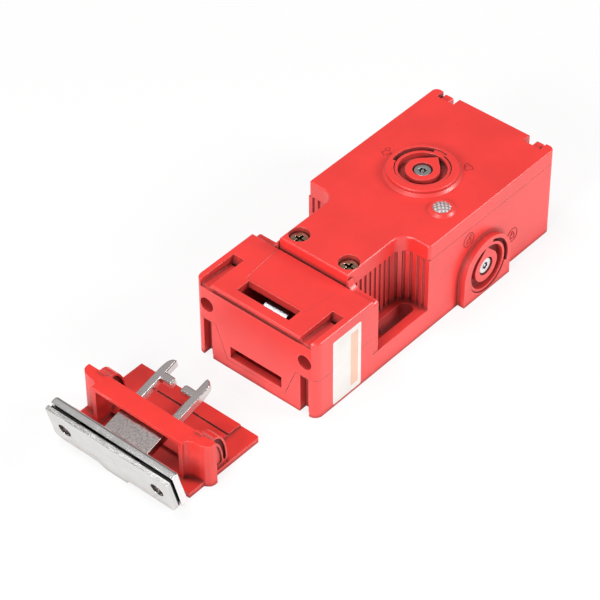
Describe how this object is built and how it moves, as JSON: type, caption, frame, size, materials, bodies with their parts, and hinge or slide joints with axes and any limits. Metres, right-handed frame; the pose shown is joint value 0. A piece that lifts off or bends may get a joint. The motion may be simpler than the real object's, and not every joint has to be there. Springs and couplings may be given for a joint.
{
  "type": "tongue interlock switch",
  "caption": "Guard-locking tongue interlock switch: head with cam, fluted body, lid with manual releases and lamp, flexible two-prong actuator and alignment guide",
  "frame": {"origin": "on the mounting plane, below the middle of the front face of the head", "axes": "+X from the front face of the head to the rear of the body, +Y to the left seen from the front, +Z away from the mounting plane"},
  "size_m": [0.1886, 0.0634, 0.0387],
  "materials": {
    "red_shell": "fine satin moulded",
    "red_guide": "satin moulded",
    "screw_steel": "zinc plated",
    "screw_brass": "yellow passivated",
    "cam_steel": "turned",
    "black_moulding": "moulded",
    "contact_silver": "silver plated",
    "coil_winding": "enamelled wire",
    "clear_lens": "clear",
    "lamp_body": "milky",
    "black_rubber": "matt",
    "plate_grey": "satin",
    "bar_chrome": "polished",
    "tongue_steel": "satin"
  },
  "bodies": {
    "switch": {"base_housing": "red_shell", "lid": "red_shell", "lid_gasket": "black_rubber", "lid_screws": "screw_brass", "head_upper": "red_shell", "head_lower": "red_shell", "head_screws": "screw_steel", "cam_pin": "screw_steel", "plunger_bush": "screw_brass", "contact_block": "black_moulding", "fixed_contacts": "contact_silver", "terminal_screws": "screw_brass", "solenoid_coil": "coil_winding", "solenoid_bobbin": "black_moulding", "solenoid_yoke": "cam_steel", "lock_spring": "screw_steel", "indicator_lens": "clear_lens", "indicator_led": "lamp_body", "release_seals": "black_rubber"},
    "cam": {"cam": "cam_steel"},
    "plunger": {"plunger": "black_moulding", "bridge_contacts": "contact_silver"},
    "lock": {"lock_bolt": "cam_steel"},
    "top_release": {"top_release_rotor": "red_shell", "top_release_screw": "screw_steel"},
    "side_release": {"side_release_rotor": "red_shell", "side_release_screw": "screw_steel"},
    "guide": {"alignment_guide": "red_guide"},
    "actuator": {"actuator_plate": "plate_grey", "flex_pads": "black_rubber", "clamp_strip": "bar_chrome"},
    "tongue": {"actuator_bar": "bar_chrome", "tongue": "tongue_steel"}
  },
  "joints": [
    {"name": "cam_turn", "type": "hinge", "parent": "switch", "child": "cam", "pos_m": [0.0142, 0, 0.0165], "axis": [0, -1, 0], "range_deg": [0, 60]},
    {"name": "plunger_slide", "type": "slide", "parent": "switch", "child": "plunger", "axis": [-1, 0, 0], "range_m": [0, 0.004]},
    {"name": "top_release_turn", "type": "hinge", "parent": "switch", "child": "top_release", "pos_m": [0.085, 0, 0.036], "axis": [0, 0, 1], "range_deg": [0, 90]},
    {"name": "lock_slide", "type": "slide", "parent": "switch", "child": "lock", "axis": [0, 1, 0], "range_m": [0, 0.002], "stiffness_N_per_m": 200},
    {"name": "side_release_turn", "type": "hinge", "parent": "switch", "child": "side_release", "pos_m": [0.0854, -0.026, 0.0104], "axis": [0, 1, 0], "range_deg": [0, 90]},
    {"name": "guide_slide", "type": "slide", "parent": "switch", "child": "guide", "axis": [1, 0, 0], "range_m": [-0.03, 0.018]},
    {"name": "actuator_tilt", "type": "hinge", "parent": "guide", "child": "actuator", "pos_m": [-0.0598, 0.0057, 0], "axis": [0, 1, 0], "range_deg": [0, 14]},
    {"name": "tongue_flex", "type": "hinge", "parent": "actuator", "child": "tongue", "pos_m": [-0.06012, 0.0057, 0.00963], "axis": [0, 1, 0], "range_deg": [-0.4, 2], "stiffness_Nm_per_rad": 0.35}
  ],
  "couplings": [
    {"joint": "plunger_slide", "follows": "cam_turn", "m_per_rad": 0.0038197},
    {"joint": "top_release_turn", "follows": "lock_slide", "rad_per_m": 785.4}
  ]
}
